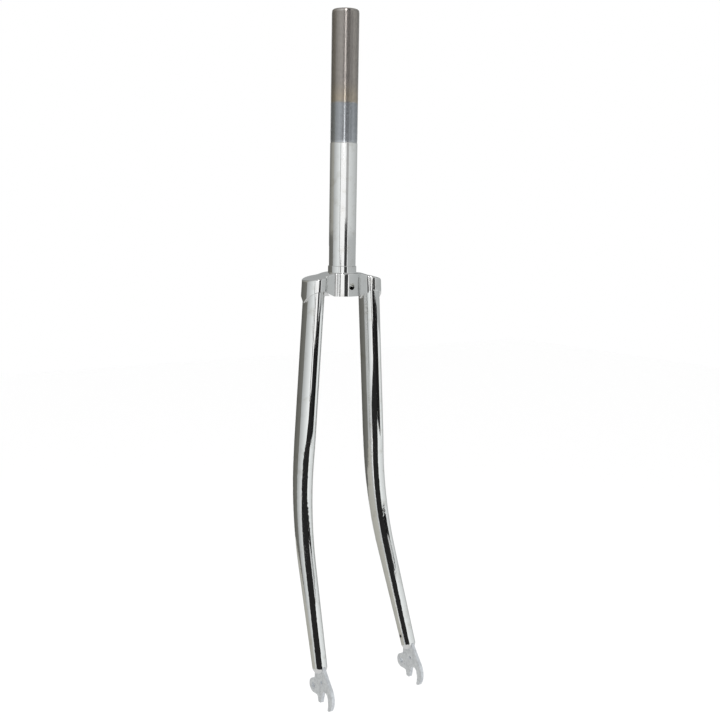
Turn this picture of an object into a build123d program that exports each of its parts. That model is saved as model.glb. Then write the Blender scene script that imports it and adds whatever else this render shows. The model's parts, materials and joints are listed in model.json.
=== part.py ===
"""Rigid steel bicycle fork with a threaded steerer, a lugged crown, raked oval blades and stamped dropouts.

Millimetres. The origin is on the steering axis at the crown race shoulder. +Z runs up the steerer,
-Y points the way the bicycle rides, and +X is the rider's left.
"""

import math
import os

from build123d import *

# Fit between brazed pieces, all round
BRAZE_GAP = 0.1

# Steerer tube
STEERER_OD = 25.4
STEERER_LENGTH = 239.0
STEERER_BORE = 22.2
STEERER_BUTT_BORE = 20.6
BUTT_LENGTH = 55.0
BUTT_TAPER = 25.0
THREAD_OD = 24.8
THREAD_LENGTH = 120.0
THREAD_CHAMFER = 1.1
KEYWAY_WIDTH = 3.2
KEYWAY_DEPTH = 0.9

# Crown
CROWN_HEIGHT = 22.0
RACE_SEAT_OD = 27.0
RACE_SEAT_HEIGHT = 6.0
RACE_SEAT_CHAMFER = 0.4
BOSS_OD = 34.0
WEB_DEPTH = 20.0
WEB_BLEND = 4.0
ROOF_FLAT = 29.0
ROOF_SLOPE = 15.0
ROOF_BLEND = 20.0
ROOF_THICKNESS = 4.0
ROOF_EDGE = 1.6
SOCKET_WALL = 1.9
LUG_ARCH = 15.4
LUG_INNER_POINT = 25.2
LUG_OUTER_POINT = 27.8
LUG_HOLLOW = 1.6
BRAKE_HOLE = 6.2
BRAKE_DROP = 12.8

# Blades
BLADE_SPACING = 60.4
BLADE_WIDTH = 18.0
BLADE_DEPTH = 25.0
BLADE_TIP_OD = 14.0
BLADE_WALL = 1.2
TAPER_START = 160.0
BEND_START = 175.7
BEND_RADIUS = 288.0
TIP_DOME = 6.0
TIP_PLUG = 4.0
VENT_HOLE = 3.0
VENT_ABOVE_TIP = 9.0
TAPER_SECTIONS = 14

# Dropouts, with the axle as the centre of their outline
RAKE = 60.2
AXLE_DROP = 385.9
HUB_SPACING = 100.0
PLATE = 3.2
AXLE_SLOT = 9.4
SLOT_FLARE = 12.0
TIP_BEHIND_AXLE = 11.2
TIP_ABOVE_AXLE = 24.6
TAB_LENGTH = 11.0
TAB_WIDTH = 10.0
NECK_WIDTH = 13.2
HOOK_REACH = 11.8
HOOK_TIP = 11.7
HOOK_BULGE = 0.9
HOOK_END = 4.6
HOOK_ROUND = 2.8
PRONG_TIP = 7.7
PRONG_WIDTH = 4.4
CORNER = 1.2
NECK_BLEND = 3.0
EYELET_OD = 13.6
EYELET_HOLE = 5.0
EYELET_BEHIND_AXLE = 19.4
EYELET_ABOVE_AXLE = 4.9
RETAINER_HOLE = 3.0
RETAINER_BEHIND_AXLE = 6.0
RETAINER_ABOVE_AXLE = 12.2

# The blade axis leans out from the crown to the middle of the dropout plate
PLATE_MIDDLE = HUB_SPACING / 2 + PLATE / 2
TIP_DROP = AXLE_DROP - TIP_ABOVE_AXLE
SPLAY = math.atan((PLATE_MIDDLE - BLADE_SPACING / 2) / TIP_DROP)
AXIS_PLANE = Plane(
    origin=(BLADE_SPACING / 2, 0, 0),
    x_dir=(0, -1, 0),
    z_dir=(math.sin(SPLAY), 0, -math.cos(SPLAY)),
)
TIP_RUN = TIP_DROP / math.cos(SPLAY)
TIP_REACH = RAKE - TIP_BEHIND_AXLE


def bend_angle():
    """Angle of the rake bend whose last straight run passes through the blade tip."""
    run = TIP_RUN - BEND_START
    rise = TIP_REACH - BEND_RADIUS
    straight = math.sqrt(run**2 + rise**2 - BEND_RADIUS**2)
    return math.atan2(rise, run) + math.atan2(BEND_RADIUS, straight)


BEND_ANGLE = bend_angle()
BEND_LENGTH = BEND_RADIUS * BEND_ANGLE
TIP_STRAIGHT = (TIP_RUN - BEND_START - BEND_RADIUS * math.sin(BEND_ANGLE)) / math.cos(BEND_ANGLE)
CENTRELINE = BEND_START + BEND_LENGTH + TIP_STRAIGHT

# The blades stop under the crown's roof
ROOF_DROP = (BLADE_SPACING / 2 - ROOF_FLAT / 2) * math.tan(math.radians(ROOF_SLOPE))
SOCKET_TOP = ROOF_DROP + ROOF_THICKNESS
BLADE_TOP = SOCKET_TOP + BRAZE_GAP


def blade_plane(run):
    """Plane square to the centreline after a length of it: x in to the wheel, y back, z down the blade."""
    lean = min(max(run - BEND_START, 0.0) / BEND_RADIUS, BEND_ANGLE)
    rest = max(run - BEND_START - BEND_LENGTH, 0.0)
    reach = BEND_RADIUS * (1 - math.cos(lean)) + rest * math.sin(lean)
    along = min(run, BEND_START) + BEND_RADIUS * math.sin(lean) + rest * math.cos(lean)
    local = Plane(origin=(reach, 0, along), x_dir=(0, 1, 0), z_dir=(math.sin(lean), 0, math.cos(lean)))
    return Plane(AXIS_PLANE * local)


def blade_body(start, end, inset):
    """Blade shrunk by inset all round: a straight oval tube, then a loft of ovals through taper and bend."""
    ovals = []
    for k in range(TAPER_SECTIONS + 1):
        run = TAPER_START + (end - TAPER_START) * k / TAPER_SECTIONS
        share = (run - TAPER_START) / (CENTRELINE - TAPER_START)
        width = BLADE_WIDTH + (BLADE_TIP_OD - BLADE_WIDTH) * share
        depth = BLADE_DEPTH + (BLADE_TIP_OD - BLADE_DEPTH) * share
        ovals.append(blade_plane(run) * Ellipse(width / 2 - inset, depth / 2 - inset))
    return extrude(ovals[0], start - TAPER_START) + loft(ovals)


def brake_bore():
    """Hole for the brake bolt, from front to back through the crown and the steerer."""
    return Pos(0, 0, -BRAKE_DROP) * Rot(90, 0, 0) * Cylinder(BRAKE_HOLE / 2, 2 * BOSS_OD)


def steerer_tube():
    """Butted tube, open at both ends, with the thread's stepped crest and its keyway at the back."""
    top = STEERER_LENGTH
    thread_end = top - THREAD_LENGTH
    butt_top = BUTT_LENGTH - CROWN_HEIGHT
    outer = [
        (STEERER_OD / 2, -CROWN_HEIGHT),
        (STEERER_OD / 2, thread_end),
        (THREAD_OD / 2, thread_end + (STEERER_OD - THREAD_OD)),
        (THREAD_OD / 2, top - THREAD_CHAMFER),
        (THREAD_OD / 2 - THREAD_CHAMFER, top),
    ]
    inner = [
        (STEERER_BORE / 2, top),
        (STEERER_BORE / 2, butt_top + BUTT_TAPER),
        (STEERER_BUTT_BORE / 2, butt_top),
        (STEERER_BUTT_BORE / 2, -CROWN_HEIGHT),
    ]
    tube = revolve(Plane.XZ * make_face(Polyline(*outer, *inner, close=True)), Axis.Z)
    keyway = Box(KEYWAY_WIDTH, 2 * KEYWAY_DEPTH, THREAD_LENGTH)
    return tube - Pos(0, THREAD_OD / 2, top - THREAD_LENGTH / 2) * keyway - brake_bore()


def socket_column(grow, top, bottom):
    """Column of the blade's oval, grown all round, between two lengths down the blade axis."""
    oval = Ellipse(BLADE_WIDTH / 2 + grow, BLADE_DEPTH / 2 + grow)
    return extrude(blade_plane(top) * oval, amount=bottom - top)


def lug_cutter():
    """Space under a socket: an arch at the front and back, and a point on the inner and outer sides."""
    side = BLADE_WIDTH / 2 + SOCKET_WALL
    inner_x = BLADE_SPACING / 2 - side
    edge_y = BLADE_DEPTH / 2 + SOCKET_WALL
    far_y = 2 * edge_y
    floor = -3 * LUG_OUTER_POINT
    middle_z = LUG_HOLLOW - (LUG_ARCH + LUG_INNER_POINT) / 2
    outline = [
        ThreePointArc((-edge_y, -LUG_ARCH), (-edge_y / 2, middle_z), (0, -LUG_INNER_POINT)),
        ThreePointArc((0, -LUG_INNER_POINT), (edge_y / 2, middle_z), (edge_y, -LUG_ARCH)),
        Polyline((edge_y, -LUG_ARCH), (far_y, -LUG_ARCH), (far_y, floor), (-far_y, floor)),
        Polyline((-far_y, floor), (-far_y, -LUG_ARCH), (-edge_y, -LUG_ARCH)),
    ]
    slant = Vector(2 * side, 0, LUG_INNER_POINT - LUG_OUTER_POINT)
    start = Vector(inner_x, 0, 0) - slant / 2
    plane = Plane(origin=start, x_dir=(0, 1, 0), z_dir=(1, 0, 0))
    space = extrude(plane * make_face(outline), amount=6 * side, dir=slant.normalized())
    foot = BOSS_OD / 2 - SOCKET_WALL
    rise = [(foot, -CROWN_HEIGHT), (BLADE_SPACING / 2, -LUG_ARCH), (BLADE_SPACING, -LUG_ARCH)]
    below = Polyline(*rise, (BLADE_SPACING, 2 * floor), (foot, 2 * floor), close=True)
    return space & extrude(Plane.XZ * make_face(below), amount=2 * far_y, both=True)


def roof_envelope():
    """Space under the crown's roof, flat over the steerer and rounding into a slope to both shoulders."""
    reach = BLADE_SPACING
    drop = (reach - ROOF_FLAT / 2) * math.tan(math.radians(ROOF_SLOPE))
    floor = -3 * LUG_OUTER_POINT
    right = [(ROOF_FLAT / 2, 0), (reach, -drop), (reach, floor)]
    left = [(-x, z) for x, z in reversed(right)]
    profile = make_face(Polyline(*right, *left, close=True))
    profile = fillet(profile.vertices().group_by(Axis.Y)[-1], ROOF_BLEND)
    return extrude(Plane.XZ * profile, amount=BOSS_OD, both=True)


def waisted(shape, strip):
    """Plan of a boss or socket with the web strip running into it through rounded valleys."""
    valleys = [v for v in (shape + strip).vertices() if abs(abs(v.Y) - WEB_DEPTH / 2) < 0.01]
    valleys = [v for v in valleys if v.distance_to(shape) < 0.01]
    return fillet(valleys, WEB_BLEND)


def crown_body():
    """Steerer boss, webs and splayed sockets, before the roof, the lugs and the bores are cut."""
    half = BLADE_SPACING / 2
    column_end = 2 * LUG_OUTER_POINT
    oval = Ellipse(BLADE_WIDTH / 2 + SOCKET_WALL, BLADE_DEPTH / 2 + SOCKET_WALL)
    boss = extrude(waisted(Sketch() + Circle(BOSS_OD / 2), Rectangle(2 * half, WEB_DEPTH)), -CROWN_HEIGHT)
    waist = waisted(Sketch() + oval, Pos(half / 2, 0) * Rectangle(half, WEB_DEPTH))
    splayed = extrude(blade_plane(-LUG_OUTER_POINT) * waist, column_end)
    slab = Pos(0, 0, -CROWN_HEIGHT / 2) * Box(3 * BLADE_SPACING, 3 * BOSS_OD, CROWN_HEIGHT)
    side = (splayed & slab) + socket_column(SOCKET_WALL, 0, column_end)
    return boss + side + mirror(side, about=Plane.YZ)


def roof_rim(body):
    """Edges that only one of the roof's faces has, which run round the top of the crown."""
    roof = [face for face in body.faces() if face.normal_at(face.center()).Z > 0.5]
    edges = [edge for face in roof for edge in face.edges()]
    return [edge for edge in edges if sum(edge.is_same(other) for other in edges) == 1]


def fork_crown():
    """Crown with the race seat, the steerer boss, the webs and the two lugged blade sockets."""
    body = crown_body() & roof_envelope()
    body = fillet(roof_rim(body), ROOF_EDGE)
    cutter = lug_cutter()
    body -= cutter
    body -= mirror(cutter, about=Plane.YZ)
    seat = Pos(0, 0, RACE_SEAT_HEIGHT / 2) * Cylinder(RACE_SEAT_OD / 2, RACE_SEAT_HEIGHT)
    body += chamfer(seat.edges().group_by(Axis.Z)[-1], RACE_SEAT_CHAMFER)
    hole = socket_column(BRAZE_GAP, SOCKET_TOP, 2 * LUG_OUTER_POINT)
    body -= Cylinder(STEERER_OD / 2 + BRAZE_GAP, 2 * (CROWN_HEIGHT + RACE_SEAT_HEIGHT))
    body -= hole
    body -= mirror(hole, about=Plane.YZ)
    return body - brake_bore()


def plate_location(x):
    """Plane of the dropout outline at a distance across the fork: x forward and y up, from the axle."""
    return Plane(origin=(x, -RAKE, -AXLE_DROP), x_dir=(0, -1, 0), z_dir=(-1, 0, 0))


def dropout_outline():
    """Plate outline around the axle: neck, hook, open axle slot, prong and eyelet lobe."""
    across = Vector(math.cos(BEND_ANGLE), math.sin(BEND_ANGLE))
    tip = Vector(-TIP_BEHIND_AXLE, TIP_ABOVE_AXLE)
    neck_front = tip + across * (NECK_WIDTH / 2)
    neck_rear = tip - across * (NECK_WIDTH / 2)
    r = AXLE_SLOT / 2
    flare = math.radians(SLOT_FLARE)
    slot_rear = (-r * math.cos(flare), r * math.sin(flare))
    prong_front = slot_rear[0] - (PRONG_TIP + slot_rear[1]) * math.tan(flare)
    prong_rear = prong_front - PRONG_WIDTH
    lobe = EYELET_OD / 2
    lobe_low = EYELET_ABOVE_AXLE - lobe
    lobe_meets_neck = EYELET_ABOVE_AXLE + math.sqrt(lobe**2 - (EYELET_BEHIND_AXLE + neck_rear.X) ** 2)
    shoulder = (HOOK_REACH * 0.6, HOOK_REACH * 0.95)
    hook_inner = (r - HOOK_BULGE, -HOOK_TIP)
    hook_outer = (hook_inner[0] + HOOK_END, -HOOK_TIP + CORNER)
    edge = [
        Line((neck_front.X, neck_front.Y), shoulder),
        ThreePointArc(shoulder, (HOOK_REACH, -CORNER), hook_outer),
        Line(hook_outer, hook_inner),
        ThreePointArc(hook_inner, (r + HOOK_BULGE, -HOOK_TIP * 0.45), (r, 0)),
        ThreePointArc((r, 0), (0, r), slot_rear),
        Line(slot_rear, (prong_front, -PRONG_TIP)),
        Line((prong_front, -PRONG_TIP), (prong_rear, -PRONG_TIP)),
        Line((prong_rear, -PRONG_TIP), (prong_rear - CORNER, lobe_low)),
        Line((prong_rear - CORNER, lobe_low), (-EYELET_BEHIND_AXLE, lobe_low)),
        Line((-EYELET_BEHIND_AXLE, lobe_low), (neck_rear.X, EYELET_ABOVE_AXLE)),
        Line((neck_rear.X, EYELET_ABOVE_AXLE), (neck_rear.X, neck_rear.Y)),
        Line((neck_rear.X, neck_rear.Y), (neck_front.X, neck_front.Y)),
    ]
    plate = make_face(edge) + Pos(-EYELET_BEHIND_AXLE, EYELET_ABOVE_AXLE) * Circle(lobe)
    rounded = {
        (hook_outer[0], hook_outer[1]): HOOK_ROUND,
        (hook_inner[0], hook_inner[1]): CORNER,
        (prong_front, -PRONG_TIP): CORNER,
        (prong_rear, -PRONG_TIP): CORNER,
        (prong_rear - CORNER, lobe_low): 2 * CORNER,
        (neck_rear.X, lobe_meets_neck): NECK_BLEND,
    }
    for point, radius in rounded.items():
        plate = fillet(plate.vertices().sort_by_distance((*point, 0))[0], radius)
    tab = Pos(0, TAB_LENGTH / 2 - CORNER) * Rectangle(TAB_WIDTH, TAB_LENGTH + 2 * CORNER)
    return plate + tip_frame() * tab


def tip_frame():
    """Place of the blade tip in the dropout's outline, with y up along the blade."""
    return Pos(-TIP_BEHIND_AXLE, TIP_ABOVE_AXLE) * Rot(0, 0, math.degrees(BEND_ANGLE))


def tip_slot():
    """Slot in the blade tip: the width of the tab inside, and right across the domed end."""
    height = TAB_LENGTH + 2 * BRAZE_GAP
    tab = Pos(0, height / 2) * Rectangle(TAB_WIDTH + 2 * BRAZE_GAP, height)
    mouth = Pos(0, BRAZE_GAP - TIP_DOME) * Rectangle(2 * BLADE_TIP_OD, 2 * TIP_DOME)
    plane = plate_location(HUB_SPACING / 2 + PLATE + BRAZE_GAP)
    return extrude(plane * tip_frame() * (tab + mouth), PLATE + 2 * BRAZE_GAP)


def dropout():
    """Stamped dropout on the rider's left."""
    outline = dropout_outline()
    outline -= Pos(-EYELET_BEHIND_AXLE, EYELET_ABOVE_AXLE) * Circle(EYELET_HOLE / 2)
    outline -= Pos(-RETAINER_BEHIND_AXLE, RETAINER_ABOVE_AXLE) * Circle(RETAINER_HOLE / 2)
    return extrude(plate_location(HUB_SPACING / 2 + PLATE) * outline, PLATE)


def blade():
    """Blade on the rider's left: hollow, with a domed and slotted end for the dropout's tab and a vent."""
    body = blade_body(BLADE_TOP, CENTRELINE, 0)
    r = BLADE_TIP_OD / 2
    crest = (0, TIP_DOME)
    cap = make_face([TangentArc(crest, (r, 0), tangent=(1, 0)), Line((r, 0), (0, 0)), Line((0, 0), crest)])
    end = blade_plane(CENTRELINE)
    body += revolve(end * Plane.XZ * cap, Axis(end.origin, end.z_dir))
    body -= blade_body(BLADE_TOP - BRAZE_GAP, CENTRELINE - TIP_PLUG, BLADE_WALL)
    body -= tip_slot()
    vent = Pos(r, 0, 0) * Rot(0, 90, 0) * Cylinder(VENT_HOLE / 2, r)
    return body - blade_plane(CENTRELINE - VENT_ABOVE_TIP) * vent


def write_parts():
    """Write one file for each piece."""
    left_blade = blade()
    left_dropout = dropout()
    pieces = {
        "steerer_tube": steerer_tube(),
        "fork_crown": fork_crown(),
        "left_blade": left_blade,
        "right_blade": mirror(left_blade, about=Plane.YZ),
        "left_dropout": left_dropout,
        "right_dropout": mirror(left_dropout, about=Plane.YZ),
    }
    os.makedirs("parts", exist_ok=True)
    for name, piece in pieces.items():
        print(name, round(piece.volume), piece.is_valid, len(piece.solids()), len(piece.faces()))
        export_step(piece, f"parts/{name}.step")


write_parts()
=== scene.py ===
"""Chromed rigid bicycle fork.

Gives the solids of the frame their plated and bare steel finishes, winds the fine thread on the steerer and
sets the fork in a white studio.
"""

import json
import math

import bpy
import numpy as np
from mathutils import Matrix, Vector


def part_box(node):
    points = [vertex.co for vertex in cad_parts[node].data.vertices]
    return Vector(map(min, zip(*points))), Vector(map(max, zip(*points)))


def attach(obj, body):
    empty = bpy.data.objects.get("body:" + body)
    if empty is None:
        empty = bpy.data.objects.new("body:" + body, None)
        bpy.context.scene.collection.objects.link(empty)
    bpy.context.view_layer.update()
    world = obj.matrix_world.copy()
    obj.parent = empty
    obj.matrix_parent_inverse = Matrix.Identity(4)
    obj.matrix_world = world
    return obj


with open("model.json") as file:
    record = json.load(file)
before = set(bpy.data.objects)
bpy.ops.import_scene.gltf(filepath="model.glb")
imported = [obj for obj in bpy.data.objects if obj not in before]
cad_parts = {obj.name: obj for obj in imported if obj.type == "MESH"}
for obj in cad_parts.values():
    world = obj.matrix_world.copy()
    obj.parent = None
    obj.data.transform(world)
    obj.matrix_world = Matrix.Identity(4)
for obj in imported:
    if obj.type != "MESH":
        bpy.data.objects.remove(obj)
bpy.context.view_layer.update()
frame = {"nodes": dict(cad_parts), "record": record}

bl_info = {
    "name": "Bicycle fork",
    "version": (1, 0, 0),
    "blender": (4, 5, 0),
    "location": "View3D > Sidebar > Fork",
    "description": "Dresses a chromed rigid bicycle fork and sets it in a white studio",
    "category": "Object",
}

MM = 0.001

# Place of the steerer's thread
MOUNTS = {mount["name"]: mount for mount in frame["record"]["mounts"]}
THREAD_MOUNT = MOUNTS["steerer_thread"]["dims"]
STEERER_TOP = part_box("steerer_tube")[1][2]
STEERER_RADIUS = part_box("steerer_tube")[1][0]
THREAD_CHAMFER = 1.1 * MM
THREAD_TOP = STEERER_TOP - THREAD_CHAMFER
THREAD_FOOT = THREAD_TOP - THREAD_MOUNT["length_mm"] * MM
THREAD_SINK = 0.06 * MM
THREAD_COLUMNS = 61
KEYWAY_ANGLE = math.pi / 2

# Points across one ridge of the thread: place as a share of the pitch, share of the crest's height
RIDGE_PROFILE = ((-0.49, 0.0), (-0.27, 0.62), (0.0, 1.0), (0.27, 0.62), (0.49, 0.0))

# Where a ridge rises from nothing: radians beside the keyway, turns at the foot, turns at the top
KEYWAY_FADE = 0.12
RUN_OUT_TURNS = 2.5
LEAD_IN_TURNS = 1.5

# Pattern that all the finishes share
WAVE_SCALE = 60.0
WAVE_STRETCH = (1.0, 1.0, 0.35)
WAVE_NOISE = {"Detail": 1.0}
HAZE_SCALE = 90.0
HAZE_NOISE = {"Detail": 5.0, "Roughness": 0.6}
SPECK_NOISE = {"Scale": 900.0, "Detail": 2.0}
SPECK_SPAN = (0.64, 0.74)

# Spans of the haze: from clear to cloudy, where stains come in, and where the dropouts darken
FULL_HAZE = (0.3, 0.8)
STAIN_HAZE = (0.5, 0.75)
CLOUD_HAZE = (0.35, 0.7)

# Bright chrome
CHROME_ROUGHNESS = (0.03, 0.12)
CHROME_WAVE_HEIGHT = 0.6 * MM
CHROME_WAVE_STRENGTH = 0.25

# Finishes along the steerer
PLATED_LENGTH = 36 * MM
PLATED_TOP = THREAD_FOOT + PLATED_LENGTH
PLATING_WANDER = 4 * MM
PLATING_BLUR = 1.5 * MM
THREAD_BLUR = 0.3 * MM
TINT_START = 2 * MM
TINT_END = 22 * MM
WORN_SHADE = 0.75
STEERER_ROUGHNESS = (0.04, 0.16)
STEERER_HAZE_ROUGHNESS = (0.0, 0.10)

# Satin dropouts
DROPOUT_METALLIC = 0.75
DROPOUT_HAZE_SCALE = 260.0
DROPOUT_SHADE = 0.82
DROPOUT_ROUGHNESS = (0.38, 0.55)
DROPOUT_GRAIN_HEIGHT = 0.3 * MM
DROPOUT_GRAIN_STRENGTH = 0.35

# Studio
WHITE = (1.0, 1.0, 1.0, 1.0)
BLACK = (0.0, 0.0, 0.0, 1.0)
PAPER_WHITE = (0.99, 0.99, 0.99, 1.0)
PAPER_ROUGHNESS = 0.9
FLOOR_HALF = 6.0
BACKGROUND_LEVEL = 1.0
LIGHT_LEVEL = 1.0
LAMP_POWER = 12.0
LAMP_SIZE = 1.2
LAMP_PLACE = (-1.3, -0.9, 1.2)
LAMP_TILT = math.radians(52)
LAMP_TURN = math.radians(-55)
SENSOR_WIDTH = 36.0

# Tints of the reflector cards
OLIVE = (1.0, 0.99, 0.90)
COOL = (0.97, 1.0, 1.0)
PLAIN = (1.0, 1.0, 1.0)

# Upright reflector cards, each a little inside the one before. Four pairs give the values at a card's
# first and last side: degrees right of the camera, low edge in metres, high edge in metres, grey level.
# The tint comes last
FAR_CARDS = (
    ((-152.0, -84.0), (-0.55, -0.50), (0.02, 0.02), (0.10, 0.17), OLIVE),
    ((-152.0, -84.0), (0.02, 0.02), (0.90, 0.90), (0.13, 0.38), OLIVE),
    ((-84.0, -18.0), (-0.50, -0.40), (0.90, 0.90), (0.42, 0.94), COOL),
    ((-150.0, -60.0), (-0.95, -0.95), (-0.55, -0.45), (0.38, 0.48), OLIVE),
    ((60.0, 118.0), (-0.70, -0.70), (-0.13, -0.13), (0.95, 0.75), COOL),
    ((118.0, 178.0), (-0.70, -0.70), (-0.13, -0.13), (0.55, 0.42), COOL),
    ((46.0, 178.0), (-0.13, -0.13), (0.02, 0.02), (0.50, 0.40), COOL),
    ((46.0, 178.0), (0.02, 0.02), (0.20, 0.20), (0.72, 0.36), COOL),
    ((44.0, 178.0), (0.20, 0.20), (0.90, 0.90), (0.50, 0.16), COOL),
    ((-8.0, 78.0), (-0.62, -0.62), (-0.20, -0.20), (0.012, 0.012), PLAIN),
    ((4.0, 78.0), (-0.20, -0.20), (-0.12, -0.10), (0.012, 0.012), PLAIN),
    ((-13.0, -7.0), (-0.20, -0.20), (-0.02, -0.02), (0.03, 0.03), PLAIN),
    ((18.0, 42.0), (-0.12, -0.12), (0.04, 0.04), (0.05, 0.05), PLAIN),
    ((25.0, 46.0), (0.04, 0.04), (0.20, 0.20), (0.42, 0.42), PLAIN),
    ((14.0, 44.0), (0.20, 0.20), (0.90, 0.90), (0.10, 0.14), PLAIN),
    ((-25.0, -20.0), (-0.09, -0.09), (0.20, 0.20), (0.40, 0.40), PLAIN),
    ((-14.0, -5.0), (0.20, 0.20), (0.90, 0.90), (0.20, 0.20), PLAIN),
    ((0.0, 9.0), (0.18, 0.18), (0.90, 0.90), (4.0, 4.0), PLAIN),
    ((150.0, 208.0), (0.0, 0.0), (0.90, 0.90), (0.38, 0.38), COOL),
)
NEAR_CARDS = (
    ((30.0, 112.0), (-0.50, -0.50), (-0.225, -0.225), (0.92, 0.66), COOL),
    ((-40.0, 30.0), (-0.50, -0.50), (-0.23, -0.09), (0.02, 0.02), PLAIN),
)
CARD_STEP = 2 * MM
CARD_COLUMNS = 25

# Flat cards over and under the fork: height in metres, grey level
FLAT_CARDS = ((0.95, 0.42), (-0.96, 0.62))
FLAT_CARD_HALF = 2.0


class ThreadSizes(bpy.types.PropertyGroup):
    """Sizes of the steerer's thread."""

    pitch: bpy.props.FloatProperty(
        name="Pitch",
        description="Rise of one turn, at 24 turns to the inch",
        default=25.4 * MM / 24,
        subtype="DISTANCE",
        precision=5,
    )
    core_radius: bpy.props.FloatProperty(
        name="Core radius",
        description="Radius of the tube under the thread",
        default=THREAD_MOUNT["r_mm"] * MM,
        subtype="DISTANCE",
        precision=5,
    )
    crest_height: bpy.props.FloatProperty(
        name="Crest height",
        description="Height of the thread over the tube",
        default=STEERER_RADIUS - THREAD_MOUNT["r_mm"] * MM,
        subtype="DISTANCE",
        precision=5,
    )
    keyway_width: bpy.props.FloatProperty(
        name="Keyway width",
        description="Width of the groove along the back, which the thread leaves open",
        default=3.2 * MM,
        subtype="DISTANCE",
        precision=5,
    )


class FinishColours(bpy.types.PropertyGroup):
    """Colours of the plated and bare steel."""

    chrome: bpy.props.FloatVectorProperty(
        name="Chrome",
        description="Bright plating on the crown, the blades and the plain part of the steerer",
        subtype="COLOR",
        default=(0.90, 0.905, 0.90),
    )
    chrome_stain: bpy.props.FloatVectorProperty(
        name="Chrome stain",
        description="Faint yellowing in patches of the bright plating",
        subtype="COLOR",
        default=(0.78, 0.77, 0.74),
    )
    thin_plating: bpy.props.FloatVectorProperty(
        name="Thin plating",
        description="Dull blue-grey plating on the foot of the thread",
        subtype="COLOR",
        default=(0.56, 0.58, 0.61),
    )
    bare_steel: bpy.props.FloatVectorProperty(
        name="Bare steel",
        description="Brownish machined steel of the upper thread",
        subtype="COLOR",
        default=(0.62, 0.575, 0.54),
    )
    tinted_steel: bpy.props.FloatVectorProperty(
        name="Tinted steel",
        description="Warm tint of the bare steel just over the plating",
        subtype="COLOR",
        default=(0.64, 0.57, 0.48),
    )
    satin_plating: bpy.props.FloatVectorProperty(
        name="Satin plating",
        description="Pale dull plating of the stamped dropouts",
        subtype="COLOR",
        default=(0.79, 0.815, 0.845),
    )
    plating_specks: bpy.props.FloatVectorProperty(
        name="Plating specks",
        description="Small dull specks in the plating of the dropouts",
        subtype="COLOR",
        default=(0.42, 0.43, 0.44),
    )


class StudioSizes(bpy.types.PropertyGroup):
    """Camera, floor and reflector sizes."""

    camera_place: bpy.props.FloatVectorProperty(
        name="Camera place",
        description="Where the camera stands",
        subtype="TRANSLATION",
        default=(-0.5684, -0.8338, 0.0533),
    )
    camera_azimuth: bpy.props.FloatProperty(
        name="Camera azimuth",
        description="Turn of the camera about the upright axis, from straight in front",
        subtype="ANGLE",
        default=math.radians(-35.33),
    )
    camera_elevation: bpy.props.FloatProperty(
        name="Camera elevation",
        description="Angle that the camera looks down",
        subtype="ANGLE",
        default=math.radians(7.72),
    )
    camera_roll: bpy.props.FloatProperty(
        name="Camera roll",
        description="Tilt of the camera about its own axis",
        subtype="ANGLE",
        default=math.radians(0.97),
    )
    lens: bpy.props.FloatProperty(
        name="Lens",
        description="Focal length on a 36 mm sensor",
        subtype="DISTANCE_CAMERA",
        default=53.37,
    )
    floor_height: bpy.props.FloatProperty(
        name="Floor height",
        description="Height of the floor, from the shoulder that carries the crown race",
        subtype="DISTANCE",
        default=-1.0,
    )
    card_distance: bpy.props.FloatProperty(
        name="Card distance",
        description="Distance of the far reflector cards from the steerer",
        subtype="DISTANCE",
        default=0.9,
    )
    near_distance: bpy.props.FloatProperty(
        name="Near card distance",
        description="Distance of the near reflector cards from the steerer",
        subtype="DISTANCE",
        default=0.35,
    )


def grid_faces(rows, columns, close_rows=False):
    """Corner numbers of the quads of a grid, each from a vertex to the next one along and the next row."""
    row_count = rows if close_rows else rows - 1
    r, c = np.meshgrid(np.arange(row_count), np.arange(columns - 1), indexing="ij")
    here = r * columns + c
    above = (r + 1) % rows * columns + c
    return np.stack([here, here + 1, above + 1, above], axis=-1).reshape(-1, 4)


def mesh_object(name, points, quads):
    """Object at the origin whose mesh has these points and quads."""
    mesh = bpy.data.meshes.new(name)
    mesh.vertices.add(len(points))
    mesh.vertices.foreach_set("co", np.ascontiguousarray(points, dtype=np.float32).ravel())
    mesh.loops.add(quads.size)
    mesh.loops.foreach_set("vertex_index", np.ascontiguousarray(quads, dtype=np.int32).ravel())
    mesh.polygons.add(len(quads))
    mesh.polygons.foreach_set("loop_start", np.arange(0, quads.size, 4, dtype=np.int32))
    mesh.update(calc_edges=True)
    mesh.validate()
    obj = bpy.data.objects.new(name, mesh)
    bpy.context.scene.collection.objects.link(obj)
    return obj


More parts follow.
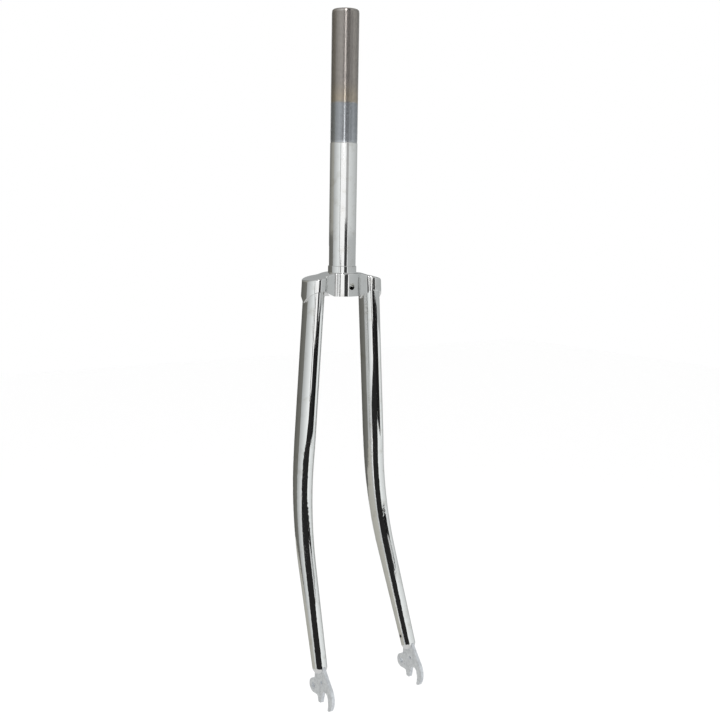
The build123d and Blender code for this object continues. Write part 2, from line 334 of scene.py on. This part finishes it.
def thread_points(thread):
    """Points and quads of rounded ridges on a helix, one for each turn, open at the keyway.

    The angle a of turn k goes from one side of the keyway round to the other, and the height of the crest
    is foot + pitch * (k + 1/2 + a / full turn), with a counted from the keyway. Across a ridge the radius
    follows a rounded crest between two edges that are sunk in the tube. The crest rises from nothing at
    the keyway, at the run-out and at the top chamfer.
    """
    across, share = np.array(RIDGE_PROFILE).T[:, None, :, None]
    turns = int((THREAD_TOP - THREAD_FOOT) / thread.pitch) - 1
    edge = math.asin(thread.keyway_width / 2 / thread.core_radius)
    angle = np.linspace(KEYWAY_ANGLE + edge, KEYWAY_ANGLE + math.tau - edge, THREAD_COLUMNS)
    k, a = np.meshgrid(np.arange(turns), angle, indexing="ij")
    height = THREAD_FOOT + thread.pitch * (k + 0.5 + (a - KEYWAY_ANGLE) / math.tau)
    ends = np.clip(np.minimum(a - angle[0], angle[-1] - a) / KEYWAY_FADE, 0, 1)
    run_out = np.clip((height - THREAD_FOOT) / (RUN_OUT_TURNS * thread.pitch), 0, 1)
    lead_in = np.clip((THREAD_TOP - height) / (LEAD_IN_TURNS * thread.pitch), 0, 1)
    rise = (thread.crest_height + THREAD_SINK) * ends * run_out * lead_in
    radius = thread.core_radius - THREAD_SINK + share * rise[:, None, :]
    turn = np.broadcast_to(a[:, None, :], radius.shape)
    z = height[:, None, :] + across * thread.pitch
    points = np.stack([radius * np.cos(turn), radius * np.sin(turn), z], axis=-1).reshape(-1, 3)
    rows = len(RIDGE_PROFILE)
    quads = grid_faces(rows, THREAD_COLUMNS, close_rows=True)
    starts = np.arange(turns) * rows * THREAD_COLUMNS
    return points, (quads[None, :, :] + starts[:, None, None]).reshape(-1, 4)


def noise(tree, place, settings):
    """Noise node at a place output, with these values on its inputs."""
    node = tree.nodes.new("ShaderNodeTexNoise")
    for name, value in settings.items():
        node.inputs[name].default_value = value
    tree.links.new(place, node.inputs["Vector"])
    return node


def remap(tree, value, span, result=(0.0, 1.0), curve="SMOOTHSTEP"):
    """Value output of one span, spread over the span of the result."""
    node = tree.nodes.new("ShaderNodeMapRange")
    node.interpolation_type = curve
    tree.links.new(value, node.inputs["Value"])
    node.inputs["From Min"].default_value, node.inputs["From Max"].default_value = span
    node.inputs["To Min"].default_value, node.inputs["To Max"].default_value = result
    return node.outputs["Result"]


def colour_mix(tree, factor, first, second):
    """Mix of two colours, or colour outputs, by a factor output."""
    mix = tree.nodes.new("ShaderNodeMix")
    mix.data_type = "RGBA"
    tree.links.new(factor, mix.inputs["Factor"])
    for socket, value in ((mix.inputs["A"], first), (mix.inputs["B"], second)):
        if isinstance(value, bpy.types.NodeSocket):
            tree.links.new(value, socket)
        else:
            socket.default_value = (*value, 1.0)
    return mix.outputs["Result"]


def shaded(colour, share):
    """Colour darkened to a share of its brightness."""
    return [channel * share for channel in colour]


def bump(tree, shader, height, distance, strength):
    """Bump of a height output on the shader's normal."""
    node = tree.nodes.new("ShaderNodeBump")
    node.inputs["Distance"].default_value = distance
    node.inputs["Strength"].default_value = strength
    tree.links.new(height, node.inputs["Height"])
    tree.links.new(node.outputs["Normal"], shader.inputs["Normal"])


def ripple_group():
    """Node group of what all the finishes share: slow waves, cloudy haze and small specks."""
    group = bpy.data.node_groups.new("plating_ripple", "ShaderNodeTree")
    for name, scale in (("Wave Scale", WAVE_SCALE), ("Haze Scale", HAZE_SCALE)):
        socket = group.interface.new_socket(name, in_out="INPUT", socket_type="NodeSocketFloat")
        socket.default_value = scale
    for name in ("Wave", "Haze", "Specks"):
        group.interface.new_socket(name, in_out="OUTPUT", socket_type="NodeSocketFloat")
    entry = group.nodes.new("NodeGroupInput")
    leave = group.nodes.new("NodeGroupOutput")
    place = group.nodes.new("ShaderNodeTexCoord").outputs["Object"]
    stretch = group.nodes.new("ShaderNodeMapping")
    stretch.inputs["Scale"].default_value = WAVE_STRETCH
    group.links.new(place, stretch.inputs["Vector"])
    wave = noise(group, stretch.outputs["Vector"], WAVE_NOISE)
    haze = noise(group, place, HAZE_NOISE)
    specks = noise(group, place, SPECK_NOISE)
    group.links.new(entry.outputs["Wave Scale"], wave.inputs["Scale"])
    group.links.new(entry.outputs["Haze Scale"], haze.inputs["Scale"])
    sparse = remap(group, specks.outputs["Fac"], SPECK_SPAN, curve="LINEAR")
    group.links.new(wave.outputs["Fac"], leave.inputs["Wave"])
    group.links.new(haze.outputs["Fac"], leave.inputs["Haze"])
    group.links.new(sparse, leave.inputs["Specks"])
    return group


def steel_material(name, metallic):
    """New material with a placed ripple group: the material, its shader and the group's node."""
    material = bpy.data.materials.new(name)
    material.use_nodes = True
    shader = material.node_tree.nodes["Principled BSDF"]
    shader.inputs["Metallic"].default_value = metallic
    ripple = material.node_tree.nodes.new("ShaderNodeGroup")
    ripple.node_tree = bpy.data.node_groups.get("plating_ripple") or ripple_group()
    return material, shader, ripple


def stained_chrome(tree, haze, finish):
    """Colour of the bright plating, stained where the haze is thick."""
    return colour_mix(tree, remap(tree, haze, STAIN_HAZE), finish.chrome, finish.chrome_stain)


def chrome_material(finish):
    """Mirror chrome with slow waves in its polish, a cloudy haze and faint stains."""
    material, shader, ripple = steel_material("bright_chrome", metallic=1.0)
    tree = material.node_tree
    haze = ripple.outputs["Haze"]
    tree.links.new(stained_chrome(tree, haze, finish), shader.inputs["Base Color"])
    tree.links.new(remap(tree, haze, FULL_HAZE, CHROME_ROUGHNESS), shader.inputs["Roughness"])
    bump(tree, shader, ripple.outputs["Wave"], CHROME_WAVE_HEIGHT, CHROME_WAVE_STRENGTH)
    return material


def steerer_material(finish):
    """Steerer finish by height: chrome at the foot, thin grey plating on the lower thread, bare steel above.

    The upper edge of the plating wanders with the haze, and the steel just over it has a warm tint.
    """
    material, shader, ripple = steel_material("steerer_steel", metallic=1.0)
    tree = material.node_tree
    haze = ripple.outputs["Haze"]
    place = tree.nodes.new("ShaderNodeTexCoord")
    split = tree.nodes.new("ShaderNodeSeparateXYZ")
    tree.links.new(place.outputs["Object"], split.inputs["Vector"])
    height = split.outputs["Z"]
    wander = tree.nodes.new("ShaderNodeMath")
    wander.operation = "MULTIPLY_ADD"
    tree.links.new(haze, wander.inputs[0])
    wander.inputs[1].default_value = PLATING_WANDER
    tree.links.new(height, wander.inputs[2])
    wavy_height = wander.outputs["Value"]
    edge = PLATED_TOP + PLATING_WANDER / 2
    threaded = remap(tree, height, (THREAD_FOOT - THREAD_BLUR, THREAD_FOOT + THREAD_BLUR))
    bare = remap(tree, wavy_height, (edge - PLATING_BLUR, edge + PLATING_BLUR))
    cold = remap(tree, wavy_height, (edge + TINT_START, edge + TINT_END))
    plated = colour_mix(tree, threaded, stained_chrome(tree, haze, finish), finish.thin_plating)
    worn = colour_mix(tree, haze, finish.bare_steel, shaded(finish.bare_steel, WORN_SHADE))
    steel = colour_mix(tree, cold, finish.tinted_steel, worn)
    tree.links.new(colour_mix(tree, bare, plated, steel), shader.inputs["Base Color"])
    rough = tree.nodes.new("ShaderNodeMath")
    rough.operation = "ADD"
    tree.links.new(remap(tree, height, (THREAD_FOOT, PLATED_TOP), STEERER_ROUGHNESS), rough.inputs[0])
    tree.links.new(remap(tree, haze, FULL_HAZE, STEERER_HAZE_ROUGHNESS), rough.inputs[1])
    tree.links.new(rough.outputs["Value"], shader.inputs["Roughness"])
    return material


def dropout_material(finish):
    """Pale satin plating, a little grainy, with small dull specks."""
    material, shader, ripple = steel_material("dropout_steel", metallic=DROPOUT_METALLIC)
    tree = material.node_tree
    haze = ripple.outputs["Haze"]
    ripple.inputs["Haze Scale"].default_value = DROPOUT_HAZE_SCALE
    dark = shaded(finish.satin_plating, DROPOUT_SHADE)
    cloudy = colour_mix(tree, remap(tree, haze, CLOUD_HAZE), finish.satin_plating, dark)
    speckled = colour_mix(tree, ripple.outputs["Specks"], cloudy, finish.plating_specks)
    tree.links.new(speckled, shader.inputs["Base Color"])
    tree.links.new(remap(tree, haze, FULL_HAZE, DROPOUT_ROUGHNESS), shader.inputs["Roughness"])
    bump(tree, shader, haze, DROPOUT_GRAIN_HEIGHT, DROPOUT_GRAIN_STRENGTH)
    return material


def dress(material, *nodes):
    """Give nodes of the frame their finish."""
    for node in nodes:
        slots = frame["nodes"][node].data.materials
        slots.clear()
        slots.append(material)


class FORK_OT_chrome(bpy.types.Operator):
    """Plate the crown and both blades"""

    bl_idname = "fork.chrome"
    bl_label = "Crown and blades"

    def execute(self, context):
        material = chrome_material(context.scene.fork_finish)
        dress(material, "fork_crown", "left_blade", "right_blade")
        return {"FINISHED"}


class FORK_OT_steerer(bpy.types.Operator):
    """Finish the steerer and wind its thread"""

    bl_idname = "fork.steerer"
    bl_label = "Steerer and thread"

    def execute(self, context):
        material = steerer_material(context.scene.fork_finish)
        dress(material, "steerer_tube")
        ridge = mesh_object("steerer_thread", *thread_points(context.scene.fork_thread))
        ridge.data.shade_smooth()
        ridge.data.materials.append(material)
        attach(ridge, "root")
        return {"FINISHED"}


class FORK_OT_dropouts(bpy.types.Operator):
    """Finish both dropouts"""

    bl_idname = "fork.dropouts"
    bl_label = "Dropouts"

    def execute(self, context):
        material = dropout_material(context.scene.fork_finish)
        dress(material, "left_dropout", "right_dropout")
        return {"FINISHED"}


def flat_square(half, height):
    """Corners of a level square round the steerer's axis: x and y are each minus or plus half the side."""
    x, y = np.meshgrid([-half, half], [-half, half])
    return np.stack([x, y, np.full_like(x, height)], axis=-1).reshape(-1, 3)


def studio_floor(studio):
    """White floor: a flat square centred under the fork."""
    floor = mesh_object("studio_floor", flat_square(FLOOR_HALF, studio.floor_height), grid_faces(2, 2))
    material = bpy.data.materials.new("white_paper")
    material.use_nodes = True
    shader = material.node_tree.nodes["Principled BSDF"]
    shader.inputs["Base Color"].default_value = PAPER_WHITE
    shader.inputs["Roughness"].default_value = PAPER_ROUGHNESS
    floor.data.materials.append(material)


def white_background(nodes, level):
    """White background of this strength."""
    node = nodes.new("ShaderNodeBackground")
    node.inputs["Color"].default_value = WHITE
    node.inputs["Strength"].default_value = level
    return node.outputs["Background"]


def studio_world():
    """White surroundings: one level that the camera and reflections see, and one for the light they give."""
    world = bpy.data.worlds.new("white_studio")
    bpy.context.scene.world = world
    world.use_nodes = True
    nodes, links = world.node_tree.nodes, world.node_tree.links
    nodes.clear()
    path = nodes.new("ShaderNodeLightPath")
    seen = path.outputs["Is Camera Ray"]
    for ray in ("Is Glossy Ray", "Is Transmission Ray"):
        either = nodes.new("ShaderNodeMath")
        either.operation = "MAXIMUM"
        links.new(seen, either.inputs[0])
        links.new(path.outputs[ray], either.inputs[1])
        seen = either.outputs["Value"]
    mix = nodes.new("ShaderNodeMixShader")
    out = nodes.new("ShaderNodeOutputWorld")
    links.new(seen, mix.inputs["Fac"])
    links.new(white_background(nodes, LIGHT_LEVEL), mix.inputs[1])
    links.new(white_background(nodes, BACKGROUND_LEVEL), mix.inputs[2])
    links.new(mix.outputs["Shader"], out.inputs["Surface"])


def card_material():
    """Even emission of each card's own grey level, which its mesh carries."""
    material = bpy.data.materials.new("reflector_card")
    material.use_nodes = True
    nodes, links = material.node_tree.nodes, material.node_tree.links
    shader = nodes["Principled BSDF"]
    shader.inputs["Base Color"].default_value = BLACK
    shader.inputs["Specular IOR Level"].default_value = 0.0
    shader.inputs["Emission Strength"].default_value = 1.0
    level = nodes.new("ShaderNodeAttribute")
    level.attribute_name = "level"
    links.new(level.outputs["Color"], shader.inputs["Emission Color"])
    return material


def upright_card(card, radius, camera_azimuth):
    """Points and grey levels of one upright card, part of a cylinder round the steerer.

    The angle to the right of the camera, the heights of both edges and the grey level change evenly from the
    card's first side to its last. The low edge comes first, then the high edge.
    """
    *sides, tint = card
    share = np.linspace(0.0, 1.0, CARD_COLUMNS)
    turn, low, high, level = [first + (last - first) * share for first, last in sides]
    angle = np.tile(camera_azimuth + np.radians(turn), 2)
    height = np.concatenate([low, high])
    points = np.stack([np.sin(angle) * radius, -np.cos(angle) * radius, height], axis=-1)
    return points, np.tile(level, 2)[:, None] * np.array(tint)


def reflector_cards(studio):
    """Cards that only reflections see: upright ones round the steerer, flat ones over and under it."""
    points, levels, quads = [], [], []
    for ring, distance in ((FAR_CARDS, studio.card_distance), (NEAR_CARDS, studio.near_distance)):
        for number, card in enumerate(ring):
            places, greys = upright_card(card, distance - number * CARD_STEP, studio.camera_azimuth)
            points.append(places)
            levels.append(greys)
            quads.append(grid_faces(2, CARD_COLUMNS))
    for height, level in FLAT_CARDS:
        points.append(flat_square(FLAT_CARD_HALF, height))
        levels.append(np.full_like(points[-1], level))
        quads.append(grid_faces(2, 2))
    starts = np.cumsum([0] + [len(places) for places in points[:-1]])
    faces = np.concatenate([quad + start for quad, start in zip(quads, starts)])
    cards = mesh_object("reflector_cards", np.concatenate(points), faces)
    grey = np.concatenate(levels)
    colour = np.concatenate([grey, np.ones((len(grey), 1))], axis=1)
    layer = cards.data.attributes.new("level", "FLOAT_COLOR", "POINT")
    layer.data.foreach_set("color", np.ascontiguousarray(colour, dtype=np.float32).ravel())
    cards.data.materials.append(card_material())
    cards.visible_camera = False
    cards.visible_diffuse = False
    cards.visible_shadow = False
    cards.visible_transmission = False


def key_lamp():
    """Broad soft lamp above, left of the camera."""
    light = bpy.data.lights.new("key_lamp", "AREA")
    light.energy = LAMP_POWER
    light.size = LAMP_SIZE
    lamp = bpy.data.objects.new("key_lamp", light)
    lamp.location = LAMP_PLACE
    lamp.rotation_euler = (LAMP_TILT, 0.0, LAMP_TURN)
    lamp.visible_glossy = False
    bpy.context.scene.collection.objects.link(lamp)


def studio_camera(studio):
    """Camera at its place, turned by azimuth and elevation and then rolled about its own axis."""
    az, el, roll = studio.camera_azimuth, studio.camera_elevation, studio.camera_roll
    back = np.array([math.sin(az) * math.cos(el), -math.cos(az) * math.cos(el), math.sin(el)])
    level = np.array([math.cos(az), math.sin(az), 0.0])
    rise = np.cross(back, level)
    right = math.cos(roll) * level + math.sin(roll) * rise
    up = math.cos(roll) * rise - math.sin(roll) * level
    data = bpy.data.cameras.new("camera")
    data.sensor_width = SENSOR_WIDTH
    data.lens = studio.lens
    camera = bpy.data.objects.new("camera", data)
    turn = Matrix((right, up, back)).transposed().to_4x4()
    camera.matrix_world = Matrix.Translation(studio.camera_place) @ turn
    bpy.context.scene.collection.objects.link(camera)
    bpy.context.scene.camera = camera


class FORK_OT_stage(bpy.types.Operator):
    """Set the floor, the surroundings, the reflector cards, the lamp and the camera"""

    bl_idname = "fork.stage"
    bl_label = "Studio"

    def execute(self, context):
        studio = context.scene.fork_studio
        studio_floor(studio)
        studio_world()
        reflector_cards(studio)
        key_lamp()
        studio_camera(studio)
        context.scene.view_settings.view_transform = "Standard"
        return {"FINISHED"}


class FORK_PT_panel(bpy.types.Panel):
    """Steps that dress the fork"""

    bl_idname = "FORK_PT_panel"
    bl_label = "Bicycle fork"
    bl_space_type = "VIEW_3D"
    bl_region_type = "UI"
    bl_category = "Fork"

    def draw(self, context):
        for step in STEPS:
            self.layout.operator(step.bl_idname)


STEPS = (FORK_OT_chrome, FORK_OT_steerer, FORK_OT_dropouts, FORK_OT_stage)
CLASSES = (ThreadSizes, FinishColours, StudioSizes, *STEPS, FORK_PT_panel)


def register():
    """Add the classes and the scene's settings."""
    for cls in CLASSES:
        bpy.utils.register_class(cls)
    bpy.types.Scene.fork_thread = bpy.props.PointerProperty(type=ThreadSizes)
    bpy.types.Scene.fork_finish = bpy.props.PointerProperty(type=FinishColours)
    bpy.types.Scene.fork_studio = bpy.props.PointerProperty(type=StudioSizes)


def unregister():
    """Take the classes and the scene's settings away again."""
    del bpy.types.Scene.fork_studio
    del bpy.types.Scene.fork_finish
    del bpy.types.Scene.fork_thread
    for cls in reversed(CLASSES):
        bpy.utils.unregister_class(cls)


def main():
    """Run every step."""
    register()
    bpy.ops.fork.chrome()
    bpy.ops.fork.steerer()
    bpy.ops.fork.dropouts()
    bpy.ops.fork.stage()


if __name__ == "__main__":
    main()
